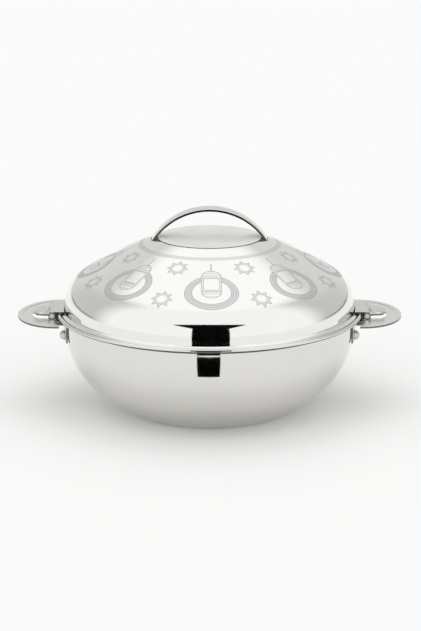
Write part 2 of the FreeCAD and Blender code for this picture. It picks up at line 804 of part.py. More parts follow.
def main():
    os.makedirs("parts", exist_ok=True)
    save("outer_bowl", make_outer_bowl())
    save("inner_bowl", make_inner_bowl())
    save("bowl_insulation", make_bowl_foam())
    save("foam_filler_plug", make_filler_plug())
    save("lid_shell", make_lid_shell())
    save("lid_liner", make_lid_liner())
    save("lid_insulation", make_lid_foam())
    save("lid_top_disc", make_lid_disc())
    save("lid_handle", make_lid_handle())
    save("lid_handle_screws", make_handle_screws())
    save("lid_handle_nuts", make_handle_nuts())
    ear_pieces = {
        "ear_plate": make_ear_plate(),
        "ear_bracket": make_ear_bracket(),
        "ear_rivets": make_ear_rivets(),
        "rivet_washers": make_rivet_washers(),
        "lock_lever": make_lock_lever(),
        "lock_pin": make_lock_pin(),
        "lock_spring": make_lock_spring(),
    }
    for name, shape in ear_pieces.items():
        save(name + "_right", shape)
        save(name + "_left", turned(shape))


main()
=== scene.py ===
import json
import math

import bpy
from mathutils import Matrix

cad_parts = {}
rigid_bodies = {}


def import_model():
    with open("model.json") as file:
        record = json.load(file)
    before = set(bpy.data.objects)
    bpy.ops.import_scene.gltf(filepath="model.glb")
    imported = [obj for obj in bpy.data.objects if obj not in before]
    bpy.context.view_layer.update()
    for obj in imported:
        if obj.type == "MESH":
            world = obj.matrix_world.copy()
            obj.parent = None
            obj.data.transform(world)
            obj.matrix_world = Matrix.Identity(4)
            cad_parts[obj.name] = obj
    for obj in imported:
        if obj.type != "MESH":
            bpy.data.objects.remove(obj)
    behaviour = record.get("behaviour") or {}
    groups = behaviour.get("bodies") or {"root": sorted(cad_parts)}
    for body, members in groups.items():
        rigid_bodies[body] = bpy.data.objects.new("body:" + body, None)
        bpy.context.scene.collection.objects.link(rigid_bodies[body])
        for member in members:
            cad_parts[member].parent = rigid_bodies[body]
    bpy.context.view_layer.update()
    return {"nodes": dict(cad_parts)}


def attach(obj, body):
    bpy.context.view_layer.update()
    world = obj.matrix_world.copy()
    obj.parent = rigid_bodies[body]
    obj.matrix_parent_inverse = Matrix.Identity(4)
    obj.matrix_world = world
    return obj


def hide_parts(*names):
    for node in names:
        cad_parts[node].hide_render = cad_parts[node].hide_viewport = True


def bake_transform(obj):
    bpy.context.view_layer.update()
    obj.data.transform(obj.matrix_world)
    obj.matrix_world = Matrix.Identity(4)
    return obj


for leftover in list(bpy.data.objects):
    bpy.data.objects.remove(leftover)
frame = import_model()
nodes = frame["nodes"]


# Outer bowl. The outside skin of the casserole, drawn and spun from 0.8 mm stainless sheet and
# buffed to a mirror. Its top edge is rolled into a bead over the inner bowl's flange, and its
# underside is dished so that it stands on a ring.
MM = 0.001
bowl_sheet = 0.8
rim_bottom = 94.0
bead_centre = (148.1, 95.9)
bead_radius = 1.9
wall_radius = 141.7
belly_centre = (61.7, 82.36)
belly_radius = 80.0
cone_angle = -55.4
foot_radius = 83.2
foot_round = 1.2
recess_radius = 70.0
recess_depth = 2.0
flare_centre = (144.7, 91.0)
flare_radius = 3.0
flange_radius = 147.6
ledge_height = 95.6
# Heights in mm of the bands of painted shade under the rolled bead, with their strengths
crease_shade_bands = [(90.8, 91.4, 0.5), (91.4, 94.7, 0.92)]
shortest_step = 0.005
merge_distance = 0.002 * MM
smooth_angle = math.radians(32)


def linear(code):
    """An sRGB hex colour as the linear colour that a shader takes."""
    colour = []
    for start in (1, 3, 5):
        value = int(code[start:start + 2], 16) / 255
        colour.append(value / 12.92 if value <= 0.04045 else ((value + 0.055) / 1.055) ** 2.4)
    return (colour[0], colour[1], colour[2], 1.0)


def add_node(tree, kind, settings=None, inputs=None):
    """Adds one node with its settings, and with a value or a link for each named input."""
    node = tree.nodes.new(kind)
    for name, value in (settings or {}).items():
        setattr(node, name, value)
    for name, value in (inputs or {}).items():
        if isinstance(value, bpy.types.NodeSocket):
            tree.links.new(value, node.inputs[name])
        else:
            node.inputs[name].default_value = value
    return node


def on_arc(centre, radius, angle):
    """The point of a section at one angle, in degrees from outwards to upwards."""
    turn = math.radians(angle)
    return (centre[0] + radius * math.cos(turn), centre[1] + radius * math.sin(turn))


def arc(centre, radius, start, end, count):
    """Points of a section along an arc, from one angle to another."""
    points = []
    for index in range(count + 1):
        points.append(on_arc(centre, radius, start + (end - start) * index / count))
    return points


def run(start, end, count):
    """Points of a section along a straight run."""
    points = []
    for index in range(count + 1):
        part = index / count
        points.append((start[0] + (end[0] - start[0]) * part, start[1] + (end[1] - start[1]) * part))
    return points


def spun(name, section, steps):
    """Draws one vertex out along a section in millimetres and spins it round the upright axis."""
    bpy.ops.object.select_all(action="DESELECT")
    bpy.ops.mesh.primitive_plane_add(size=MM)
    piece = bpy.context.object
    piece.name = name
    bpy.ops.object.mode_set(mode="EDIT")
    bpy.ops.mesh.select_all(action="SELECT")
    bpy.ops.mesh.merge(type="CENTER")
    bpy.ops.transform.translate(value=(section[0][0] * MM, 0.0, section[0][1] * MM))
    here = section[0]
    for point in section[1:]:
        if math.dist(point, here) > shortest_step:
            step = ((point[0] - here[0]) * MM, 0.0, (point[1] - here[1]) * MM)
            bpy.ops.mesh.extrude_region_move(TRANSFORM_OT_translate={"value": step})
            here = point
    bpy.ops.mesh.select_all(action="SELECT")
    bpy.ops.mesh.spin(steps=steps, angle=2 * math.pi, center=(0, 0, 0), axis=(0, 0, 1))
    bpy.ops.mesh.select_all(action="SELECT")
    bpy.ops.mesh.remove_doubles(threshold=merge_distance)
    bpy.ops.mesh.normals_make_consistent(inside=False)
    bpy.ops.object.mode_set(mode="OBJECT")
    bpy.ops.object.shade_smooth_by_angle(angle=smooth_angle)
    return piece


def steel(name, tone, roughness, spacing, relief, hoops):
    """A stainless finish: its tone, its roughness, and its polishing lines' spacing and depth in
    mm. The lines are hoops round the upright axis, or else run along X. Handling smudges the
    gloss and dulls the tone a little."""
    smudge_size = 38
    smudged_tone = 0.94
    line_stretch = (0.02, 1, 1)
    material = bpy.data.materials.new(name)
    material.use_nodes = True
    tree = material.node_tree
    tree.nodes.clear()
    place = add_node(tree, "ShaderNodeTexCoord").outputs["Object"]
    spot = add_node(tree, "ShaderNodeVectorMath", {"operation": "SCALE", "name": "spot in mm"},
                    {0: place, "Scale": 1 / MM}).outputs[0]
    split = add_node(tree, "ShaderNodeSeparateXYZ", None, {0: spot})
    if hoops:
        flat = add_node(tree, "ShaderNodeVectorMath", {"operation": "MULTIPLY"}, {0: spot, 1: (1, 1, 0)})
        radius = add_node(tree, "ShaderNodeVectorMath", {"operation": "LENGTH"}, {0: flat.outputs[0]})
        grain_at = add_node(tree, "ShaderNodeCombineXYZ", None,
                            {"X": radius.outputs["Value"], "Z": split.outputs["Z"]}).outputs[0]
    else:
        grain_at = add_node(tree, "ShaderNodeVectorMath", {"operation": "MULTIPLY"},
                            {0: spot, 1: line_stretch}).outputs[0]
    lines = add_node(tree, "ShaderNodeTexNoise", None,
                     {"Vector": grain_at, "Scale": 1 / spacing, "Detail": 3.0, "Roughness": 0.6})
    smudges = add_node(tree, "ShaderNodeTexNoise", None,
                       {"Vector": spot, "Scale": 1 / smudge_size, "Detail": 4.0,
                        "Roughness": 0.55})
    haze = add_node(tree, "ShaderNodeMapRange", None,
                    {"Value": smudges.outputs["Fac"], "From Min": 0.3, "From Max": 0.7,
                     "To Min": roughness * 0.8, "To Max": roughness * 1.25})
    lined = add_node(tree, "ShaderNodeMapRange", None,
                     {"Value": lines.outputs["Fac"], "From Min": 0.3, "From Max": 0.7,
                      "To Min": 0.9, "To Max": 1.1})
    gloss = add_node(tree, "ShaderNodeMath", {"operation": "MULTIPLY", "name": "gloss"},
                     {0: haze.outputs[0], 1: lined.outputs[0]})
    worn = [channel * smudged_tone for channel in linear(tone)[:3]] + [1.0]
    colour = add_node(tree, "ShaderNodeMix", {"data_type": "RGBA", "name": "tone"},
                      {"Factor": smudges.outputs["Fac"], 6: linear(tone), 7: worn})
    bump = add_node(tree, "ShaderNodeBump", None,
                    {"Height": lines.outputs["Fac"], "Strength": 1.0, "Distance": relief * MM})
    shader = add_node(tree, "ShaderNodeBsdfPrincipled", {"name": "steel"},
                      {"Base Color": colour.outputs[2], "Metallic": 1.0,
                       "Roughness": gloss.outputs[0], "Normal": bump.outputs[0]})
    add_node(tree, "ShaderNodeOutputMaterial", None, {"Surface": shader.outputs[0]})
    return material


def bands(tree, value, reach, edges):
    """A given strength between each pair of edges, and none elsewhere. The value and the edges
    are in mm, and none is past reach."""
    scaled = add_node(tree, "ShaderNodeMath", {"operation": "DIVIDE"}, {0: value, 1: reach})
    stripes = add_node(tree, "ShaderNodeValToRGB", None, {"Fac": scaled.outputs[0]})
    stops = stripes.color_ramp.elements
    stripes.color_ramp.interpolation = "CONSTANT"
    stops.remove(stops[1])
    stops[0].position = 0.0
    stops[0].color = (0, 0, 0, 1)
    for start, end, strength in edges:
        stops.new(start / reach).color = (strength, strength, strength, 1)
        stops.new(end / reach).color = (0, 0, 0, 1)
    return stripes.outputs["Color"]


def darkened(material, share, code):
    """Paints shade into a steel's colour: mixes a darker tone in by a share from 0 to 1."""
    tree = material.node_tree
    shader = tree.nodes["steel"]
    tone = shader.inputs["Base Color"].links[0].from_socket
    dark = add_node(tree, "ShaderNodeMix", {"data_type": "RGBA"},
                    {"Factor": share, 6: tone, 7: linear(code)})
    tree.links.new(dark.outputs[2], shader.inputs["Base Color"])


# Painted shade: the crease under the rolled bead and the wall just below it are darkened in the steel's
# colour, as a thin dark line where shade falls
mirror_steel = steel("mirror_polished_stainless_steel", "#E4E3DF", 0.05, 1.6, 0.0006, True)
tree = mirror_steel.node_tree
split = add_node(tree, "ShaderNodeSeparateXYZ", None, {0: tree.nodes["spot in mm"].outputs[0]})
darkened(mirror_steel, bands(tree, split.outputs["Z"], 200.0, crease_shade_bands), "#1E1E1C")

outer_bowl = spun(
    "outer_bowl_skin",
    run((0, recess_depth), (recess_radius, recess_depth), 6)
    + [(recess_radius + recess_depth, 0.0)]
    + run((recess_radius + recess_depth + 0.5, 0.0), (foot_radius - foot_round * 0.4, 0.0), 3)
    + [(foot_radius + 0.1, 0.25)]
    + run((foot_radius + foot_round * 0.6, 0.65), on_arc(belly_centre, belly_radius, cone_angle), 16)
    + arc(belly_centre, belly_radius, cone_angle, 0, 56)
    + run((wall_radius, belly_centre[1]), (wall_radius, flare_centre[1]), 6)
    + arc(flare_centre, flare_radius, 180, 90, 12)
    + arc(bead_centre, bead_radius, -90, 180, 36)
    + [(bead_centre[0] - bead_radius, ledge_height), (flange_radius, ledge_height),
       (flange_radius, rim_bottom + bowl_sheet)]
    + arc(flare_centre, flare_radius + bowl_sheet, 90, 180, 12)
    + arc(belly_centre, belly_radius - bowl_sheet, 0, cone_angle, 40)
    + [(foot_radius - 0.6, bowl_sheet), (recess_radius + recess_depth - 0.3, bowl_sheet),
       (recess_radius - 0.3, recess_depth + bowl_sheet), (0, recess_depth + bowl_sheet)],
    steps=288,
)
outer_bowl.data.materials.append(mirror_steel)
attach(outer_bowl, "pot")
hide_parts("outer_bowl")


# Foam and its plug. Rigid foam, poured in through a hole in the base, fills the space between
# the skins, and the lid holds the same foam. A moulded grey plastic plug closes the hole. The
# foam is matt and mottled, and the plug has the low sheen of moulded plastic.
def dull(name, tone, other_tone, roughness, grain, relief):
    """A matt moulded or foamed material, mottled at the grain's size in mm."""
    material = bpy.data.materials.new(name)
    material.use_nodes = True
    tree = material.node_tree
    tree.nodes.clear()
    place = add_node(tree, "ShaderNodeTexCoord").outputs["Object"]
    cells = add_node(tree, "ShaderNodeTexNoise", None,
                     {"Vector": place, "Scale": 1 / (grain * MM), "Detail": 4.0})
    colour = add_node(tree, "ShaderNodeMix", {"data_type": "RGBA"},
                      {"Factor": cells.outputs["Fac"], 6: linear(tone), 7: linear(other_tone)})
    bump = add_node(tree, "ShaderNodeBump", None,
                    {"Height": cells.outputs["Fac"], "Strength": 1.0, "Distance": relief * MM})
    shader = add_node(tree, "ShaderNodeBsdfPrincipled", None,
                      {"Base Color": colour.outputs[2], "Roughness": roughness,
                       "Normal": bump.outputs[0]})
    add_node(tree, "ShaderNodeOutputMaterial", None, {"Surface": shader.outputs[0]})
    return material


foam = dull("rigid_polyurethane_foam", "#E9DDB4", "#D8C48E", 0.9, 1.2, 0.3)
plug_plastic = dull("moulded_grey_polypropylene", "#8C8E90", "#7E8082", 0.45, 0.8, 0.02)
for name, material in (("bowl_insulation", foam), ("lid_insulation", foam),
                       ("foam_filler_plug", plug_plastic)):
    for slot in nodes[name].material_slots:
        slot.material = material


# Inner bowl. The food bowl, spun from the same sheet with a satin finish, with a flat flange
# that the rolled rim grips and the lid's edge rests on.
inner_inset = 6.8
floor_height = 14.0
mouth_centre = (136.4, 93.3)
mouth_radius = 1.5
cone_rise = math.tan(math.radians(34.6))
clearance = 0.01
satin_hoops = steel("satin_spun_stainless_steel", "#D2D1CD", 0.2, 0.9, 0.003, True)
inner_low = belly_radius - inner_inset
inner_low_point = on_arc(belly_centre, inner_low, cone_angle)
inner_high = inner_low - bowl_sheet
inner_high_point = on_arc(belly_centre, inner_high, cone_angle)
outer_foot = (inner_low_point[0] - (inner_low_point[1] - floor_height) / cone_rise, floor_height)
inner_foot = (inner_high_point[0] - (inner_high_point[1] - floor_height - bowl_sheet) / cone_rise,
              floor_height + bowl_sheet)
inner_bowl = spun(
    "inner_bowl_skin",
    run((0, floor_height), outer_foot, 5)
    + run(outer_foot, inner_low_point, 6)
    + arc(belly_centre, inner_low, cone_angle, 0, 36)
    + arc(mouth_centre, mouth_radius, 180, 90, 8)
    + [(flange_radius - clearance, rim_bottom + bowl_sheet + clearance),
       (flange_radius - clearance, ledge_height - clearance)]
    + arc(mouth_centre, mouth_radius + bowl_sheet, 90, 180, 10)
    + arc(belly_centre, inner_high, 0, cone_angle, 48)
    + run(inner_high_point, inner_foot, 8)
    + run(inner_foot, (0, floor_height + bowl_sheet), 8),
    steps=224,
)
inner_bowl.data.materials.append(satin_hoops)
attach(inner_bowl, "pot")
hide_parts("inner_bowl")


# Lid shell. Spun and mirror-polished like the bowl, with a short upright wall, a flared edge,
# and a matt acid-etched pattern: one band round the crown, eight ringed lanterns and pairs of
# eight-pointed stars. The etching is drawn in the lid's own surface.
lid_sheet = 0.7
lid_wall = 141.75
shoulder_centre = (104.35, 102.1)
shoulder_radius = 37.4
slope_angle = 61.5
crown_centre = (-69.01, -159.48)
crown_radius = 350.0
seat_radius = 50.9
seat_height = 168.44
well_mouth = 46.4
well_radius = 44.0
well_floor = 166.04
slot_middle = 54.06
slot_size = (5.4, 18.3, 10.0)
edge_centre = (144.35, 99.65)
edge_radius = 2.6
hem = [(144.6, 95.65), (145.1, 95.65), (145.3, 95.85), (145.3, 96.6), (145.15, 96.9), (144.8, 97.05)]
hem_inside, hem_bottom = hem[0]
lid_turn = math.radians(1.0)
half_sector = math.pi / 8
band_edges = [(64.6, 69.2, 0.55)]
medallion_radius = 109.8
medallion_stretch = (1.385, 1.07, 0.0)
ring_edges = [(19.1, 20.8, 1), (21.2, 22.9, 1), (23.4, 25.1, 1), (25.6, 27.3, 1)]
lantern_half_width = 10.3
lantern_height = 26.0
window_squeeze = 0.8
window_corner = 3.5
bar_edges = [(25.0, 26.0, 0.8), (28.0, 29.2, 0.9), (31.0, 34.0, 0.55), (35.2, 36.4, 1),
             (57.6, 59.2, 1), (60.2, 64.0, 0.45), (66.4, 67.4, 0.8)]
bar_origin = 60.0
rod_edges = [(10.5, 14.5, 1), (15.2, 23.8, 1)]
rod_half_width = 0.8
star_radii = (82.0, 120.5)
star_squeeze = 0.88
star_edge_angle = 1.0488
star_edges = [(0.5, 4.7, 0.62), (4.7, 5.6, 1)]
star_hole = 4.6
etched_roughness = 0.42
seat_angle = math.degrees(math.acos((seat_radius - crown_centre[0]) / crown_radius))

lid_steel = steel("etched_mirror_stainless_steel", "#F1F1EE", 0.055, 1.6, 0.0006, True)
tree = lid_steel.node_tree
spot = add_node(tree, "ShaderNodeVectorRotate", {"rotation_type": "Z_AXIS"},
                {"Vector": tree.nodes["spot in mm"].outputs[0], "Angle": -lid_turn}).outputs[0]
split = add_node(tree, "ShaderNodeSeparateXYZ", None, {0: spot})
around = add_node(tree, "ShaderNodeMath", {"operation": "ARCTAN2"},
                  {0: split.outputs["Y"], 1: split.outputs["X"]}).outputs[0]

# The lanterns' own frame: X runs down the lid from a medallion's centre and Y runs across it.
# Down the lid is stretched so that the rings come out as the slightly flattened ones seen.
shifted = add_node(tree, "ShaderNodeMath", {"operation": "ADD"}, {0: around, 1: half_sector})
sector = add_node(tree, "ShaderNodeMath", {"operation": "SNAP"},
                  {0: shifted.outputs[0], 1: 2 * half_sector})
back = add_node(tree, "ShaderNodeMath", {"operation": "MULTIPLY"}, {0: sector.outputs[0], 1: -1.0})
faced = add_node(tree, "ShaderNodeVectorRotate", {"rotation_type": "Z_AXIS"},
                 {"Vector": spot, "Angle": back.outputs[0]})
centred = add_node(tree, "ShaderNodeVectorMath", {"operation": "SUBTRACT"},
                   {0: faced.outputs[0], 1: (medallion_radius, 0, 0)})
medal = add_node(tree, "ShaderNodeVectorMath", {"operation": "MULTIPLY"},
                 {0: centred.outputs[0], 1: medallion_stretch}).outputs[0]
medal_split = add_node(tree, "ShaderNodeSeparateXYZ", None, {0: medal})
down = medal_split.outputs["X"]
across = add_node(tree, "ShaderNodeMath", {"operation": "ABSOLUTE"},
                  {0: medal_split.outputs["Y"]}).outputs[0]
from_centre = add_node(tree, "ShaderNodeVectorMath", {"operation": "LENGTH"}, {0: medal})
rings = bands(tree, from_centre.outputs["Value"], 40.0, ring_edges)

# Lantern: straight sides between two oval ends, with a window, bars across each end and a
# hanging rod
held = add_node(tree, "ShaderNodeClamp", None, {"Value": down, "Min": -lantern_height, "Max": 0.0})
past = add_node(tree, "ShaderNodeMath", {"operation": "SUBTRACT"}, {0: down, 1: held.outputs[0]})
oval = add_node(tree, "ShaderNodeCombineXYZ", None, {"X": past.outputs[0], "Y": across})
body = add_node(tree, "ShaderNodeVectorMath", {"operation": "LENGTH"}, {0: oval.outputs[0]})
body = body.outputs["Value"]
outline = bands(tree, body, 40.0, [(9.0, lantern_half_width, 1)])
inside = add_node(tree, "ShaderNodeMath", {"operation": "LESS_THAN"},
                  {0: body, 1: lantern_half_width}).outputs[0]
tall = add_node(tree, "ShaderNodeMath", {"operation": "ADD"}, {0: down, 1: lantern_height / 2})
tall = add_node(tree, "ShaderNodeMath", {"operation": "ABSOLUTE"}, {0: tall.outputs[0]})
tall = add_node(tree, "ShaderNodeMath", {"operation": "MULTIPLY"}, {0: tall.outputs[0], 1: window_squeeze})
window = add_node(tree, "ShaderNodeMath", {"operation": "SMOOTH_MAX"},
                  {0: tall.outputs[0], 1: across, 2: window_corner}).outputs[0]
window = bands(tree, window, 40.0, [(7.4, 8.2, 1)])
bar_level = add_node(tree, "ShaderNodeMath", {"operation": "ADD"}, {0: down, 1: bar_origin}).outputs[0]
bars = bands(tree, bar_level, 80.0, bar_edges)
bars = add_node(tree, "ShaderNodeMath", {"operation": "MULTIPLY"}, {0: bars, 1: inside}).outputs[0]
rod = bands(tree, bar_level, 80.0, rod_edges)
thin = add_node(tree, "ShaderNodeMath", {"operation": "LESS_THAN"},
                {0: across, 1: rod_half_width}).outputs[0]
rod = add_node(tree, "ShaderNodeMath", {"operation": "MULTIPLY"}, {0: rod, 1: thin}).outputs[0]
clear = add_node(tree, "ShaderNodeMath", {"operation": "SUBTRACT"}, {0: 1.0, 1: inside}).outputs[0]
rings = add_node(tree, "ShaderNodeMath", {"operation": "MULTIPLY"}, {0: rings, 1: clear}).outputs[0]

# Stars: one point repeated eight times round a small hole, on two circles between the lanterns
sector = add_node(tree, "ShaderNodeMath", {"operation": "SNAP"}, {0: around, 1: 2 * half_sector})
middle = add_node(tree, "ShaderNodeMath", {"operation": "ADD"}, {0: sector.outputs[0], 1: half_sector})
back = add_node(tree, "ShaderNodeMath", {"operation": "MULTIPLY"}, {0: middle.outputs[0], 1: -1.0})
faced = add_node(tree, "ShaderNodeVectorRotate", {"rotation_type": "Z_AXIS"},
                 {"Vector": spot, "Angle": back.outputs[0]})
star_split = add_node(tree, "ShaderNodeSeparateXYZ", None, {0: faced.outputs[0]})
lower = add_node(tree, "ShaderNodeMath", {"operation": "GREATER_THAN"},
                 {0: star_split.outputs["X"], 1: sum(star_radii) / 2})
centre = add_node(tree, "ShaderNodeMath", {"operation": "MULTIPLY_ADD"},
                  {0: lower.outputs[0], 1: star_radii[1] - star_radii[0], 2: star_radii[0]})
star_down = add_node(tree, "ShaderNodeMath", {"operation": "SUBTRACT"},
                     {0: star_split.outputs["X"], 1: centre.outputs[0]})
star_down = add_node(tree, "ShaderNodeMath", {"operation": "DIVIDE"},
                     {0: star_down.outputs[0], 1: star_squeeze}).outputs[0]
bearing = add_node(tree, "ShaderNodeMath", {"operation": "ARCTAN2"},
                   {0: star_split.outputs["Y"], 1: star_down})
folded = add_node(tree, "ShaderNodeMath", {"operation": "PINGPONG"},
                  {0: bearing.outputs[0], 1: half_sector})
leaned = add_node(tree, "ShaderNodeMath", {"operation": "SUBTRACT"},
                  {0: folded.outputs[0], 1: star_edge_angle})
facing = add_node(tree, "ShaderNodeMath", {"operation": "COSINE"}, {0: leaned.outputs[0]})
star_spot = add_node(tree, "ShaderNodeCombineXYZ", None, {"X": star_down, "Y": star_split.outputs["Y"]})
distance = add_node(tree, "ShaderNodeVectorMath", {"operation": "LENGTH"}, {0: star_spot.outputs[0]})
star = add_node(tree, "ShaderNodeMath", {"operation": "MULTIPLY"},
                {0: distance.outputs["Value"], 1: facing.outputs[0]}).outputs[0]
stars = bands(tree, star, 30.0, star_edges)
hole = add_node(tree, "ShaderNodeMath", {"operation": "GREATER_THAN"},
                {0: distance.outputs["Value"], 1: star_hole}).outputs[0]
stars = add_node(tree, "ShaderNodeMath", {"operation": "MULTIPLY"}, {0: stars, 1: hole}).outputs[0]

flat = add_node(tree, "ShaderNodeVectorMath", {"operation": "MULTIPLY"}, {0: spot, 1: (1, 1, 0)})
radius = add_node(tree, "ShaderNodeVectorMath", {"operation": "LENGTH"}, {0: flat.outputs[0]})
radius = radius.outputs["Value"]
etched = bands(tree, radius, 200.0, band_edges)
for part in (rings, outline, window, bars, rod, stars):
    etched = add_node(tree, "ShaderNodeMath", {"operation": "MAXIMUM"}, {0: etched, 1: part}).outputs[0]

steel_shader = tree.nodes["steel"]
etched_tone = add_node(tree, "ShaderNodeMix", {"data_type": "RGBA"},
                       {"Factor": etched, 6: tree.nodes["tone"].outputs[2], 7: linear("#C2C2C4")})
etched_gloss = add_node(tree, "ShaderNodeMix", {"data_type": "FLOAT"},
                        {"Factor": etched, 2: tree.nodes["gloss"].outputs[0], 3: etched_roughness})
tree.links.new(etched_tone.outputs[2], steel_shader.inputs["Base Color"])
tree.links.new(etched_gloss.outputs[0], steel_shader.inputs["Roughness"])

# Painted shade: thin dark lines are painted into the colour at the lid's lower edge, in the groove above
# the bowl's bead, and round the disc's seat, where shade falls
painted_shade_tone = "#2E2E2C"
darkened(lid_steel, bands(tree, split.outputs["Z"], 200.0, [(95.5, 96.3, 0.8)]), painted_shade_tone)
darkened(lid_steel, bands(tree, radius, 200.0, [(50.2, 51.3, 0.8)]), painted_shade_tone)

lid_outside = (
    arc(edge_centre, edge_radius, 270, 180, 14)
    + run((lid_wall, edge_centre[1]), (lid_wall, shoulder_centre[1]), 3)
    + arc(shoulder_centre, shoulder_radius, 0, slope_angle, 44)
)
cone_top = on_arc(shoulder_centre, shoulder_radius, slope_angle)
crown_low = on_arc(crown_centre, crown_radius, slope_angle)
lid_shell = spun(
    "lid_shell_skin",
    hem
    + lid_outside
    + run(cone_top, crown_low, 10)
    + arc(crown_centre, crown_radius, slope_angle, seat_angle, 20)
    + [(seat_radius, seat_height), (well_mouth, seat_height), (well_radius, well_floor),
       (0, well_floor), (0, well_floor - lid_sheet), (well_radius + 0.3, well_floor - lid_sheet),
       (well_mouth + 0.3, seat_height - lid_sheet)]
    + arc(crown_centre, crown_radius - lid_sheet, seat_angle, slope_angle, 12)
    + arc(shoulder_centre, shoulder_radius - lid_sheet, slope_angle, 0, 20)
    + arc(edge_centre, edge_radius + lid_sheet, 180, 270, 8)
    + [(hem_inside, hem_bottom + lid_sheet), (hem_inside, hem_bottom)],
    steps=288,
)

# A slot on each side of the seat lets the strap's foot through
for side in (-1, 1):
    bpy.ops.object.select_all(action="DESELECT")
    bpy.ops.mesh.primitive_cube_add(size=MM, location=(side * slot_middle * MM, 0, seat_height * MM))
    cutter = bpy.context.object
    cutter.scale = slot_size
    bpy.ops.object.transform_apply(location=True, rotation=True, scale=True)
    bpy.ops.object.select_all(action="DESELECT")
    bpy.context.view_layer.objects.active = lid_shell
    lid_shell.select_set(True)
    slotting = lid_shell.modifiers.new("strap slot", "BOOLEAN")
    slotting.object = cutter
    slotting.operation = "DIFFERENCE"
    bpy.ops.object.modifier_apply(modifier=slotting.name)
    bpy.data.objects.remove(cutter)
lid_shell.data.materials.append(lid_steel)
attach(lid_shell, "lid")
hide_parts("lid_shell")


# Lid liner. The satin inner skin of the lid, whose skirt drops into the bowl's mouth and whose
# flange is folded into the lid shell's edge.
skirt_radius = 133.3
skirt_bottom = 87.65
fold = 2.0
liner_inset = 12.45
skirt_top = 101.0
skirt_centre = (134.8, 94.15)
ceiling_height = 152.04


def dome(inset, height):
    """The lid's section moved inward, from a level ceiling down to its wall."""
    crown = crown_radius - inset
    start = math.degrees(math.asin((height - crown_centre[1]) / crown))
    return (arc(crown_centre, crown, start, slope_angle, 20)
            + arc(shoulder_centre, shoulder_radius - inset, slope_angle, 0, 16))


lid_liner = spun(
    "lid_liner_skin",
    [(0, ceiling_height)]
    + dome(liner_inset, ceiling_height)
    + run((skirt_radius - 2 * fold, skirt_top), (skirt_radius - 2 * fold, skirt_bottom + fold), 3)
    + arc((skirt_radius - fold, skirt_bottom + fold), fold, 180, 360, 14)
    + arc(skirt_centre, mouth_radius, 180, 90, 8)
    + [(hem_inside - clearance, hem_bottom + clearance),
       (hem_inside - clearance, hem_bottom + lid_sheet - clearance)]
    + arc(skirt_centre, mouth_radius + lid_sheet, 90, 180, 8)
    + arc((skirt_radius - fold, skirt_bottom + fold), fold - lid_sheet, 360, 180, 12)
    + list(reversed(dome(liner_inset - lid_sheet, ceiling_height + lid_sheet)))
    + [(0, ceiling_height + lid_sheet)],
    steps=224,
)
lid_liner.data.materials.append(satin_hoops)
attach(lid_liner, "lid")
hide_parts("lid_liner")


# Crown disc. A blanked disc of stainless sheet, brushed dull in one direction, that sits in a
# seat at the crown and hides the handle's screws.
disc_radius = 50.7
disc_top = 169.64
disc_round = 0.25
brushed_steel = steel("brushed_dull_stainless_steel", "#F5F5F4", 0.85, 0.7, 0.004, False)
# Painted shade: a thin dark ring is painted at the disc's edge, where its seat is in shade
tree = brushed_steel.node_tree
flat = add_node(tree, "ShaderNodeVectorMath", {"operation": "MULTIPLY"},
                {0: tree.nodes["spot in mm"].outputs[0], 1: (1, 1, 0)})
radius = add_node(tree, "ShaderNodeVectorMath", {"operation": "LENGTH"}, {0: flat.outputs[0]})
darkened(brushed_steel, bands(tree, radius.outputs["Value"], 100.0, [(50.2, 52.0, 0.85)]), painted_shade_tone)
disc = spun(
    "crown_disc",
    run((0, seat_height + clearance), (disc_radius - 0.1, seat_height + clearance), 8)
    + [(disc_radius, seat_height + 0.1)]
    + arc((disc_radius - disc_round, disc_top - disc_round), disc_round, 0, 90, 4)
    + run((disc_radius - disc_round - 0.4, disc_top), (0, disc_top), 8),
    steps=192,
)
disc.data.materials.append(brushed_steel)
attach(disc, "lid")
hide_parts("lid_top_disc")


# Strap handle. One polished stainless strap bent to a long arc, with its long edges rounded.
# A tight bend at each end turns it in under the crown, where two screws hold each foot.
strap_centre = 131.7
strap_width = 17.7
strap_sheet = 2.5
strap_round = 0.45
bend = (53.2, 166.09)
bend_middle = 2.0
bend_angle = math.atan2(bend[1] - strap_centre, bend[0])
foot_end = 34.5
foot_length = bend[0] - foot_end
strap_steel = steel("polished_strap_stainless_steel", "#EAE9E6", 0.12, 0.8, 0.002, False)


def shaded_edges(material, axes, code):
    """Paints shade into a sheet's edge faces: they are darkened in colour, as they look in shade. They are
    found by how far the surface faces along the given axes."""
    tree = material.node_tree
    normal = add_node(tree, "ShaderNodeTexCoord").outputs["Normal"]
    part = add_node(tree, "ShaderNodeVectorMath", {"operation": "MULTIPLY"}, {0: normal, 1: axes})
    size = add_node(tree, "ShaderNodeVectorMath", {"operation": "LENGTH"}, {0: part.outputs[0]})
    share = add_node(tree, "ShaderNodeMapRange", None,
                     {"Value": size.outputs["Value"], "From Min": 0.86, "From Max": 0.96,
                      "To Min": 0.0, "To Max": 0.9})
    darkened(material, share.outputs[0], code)


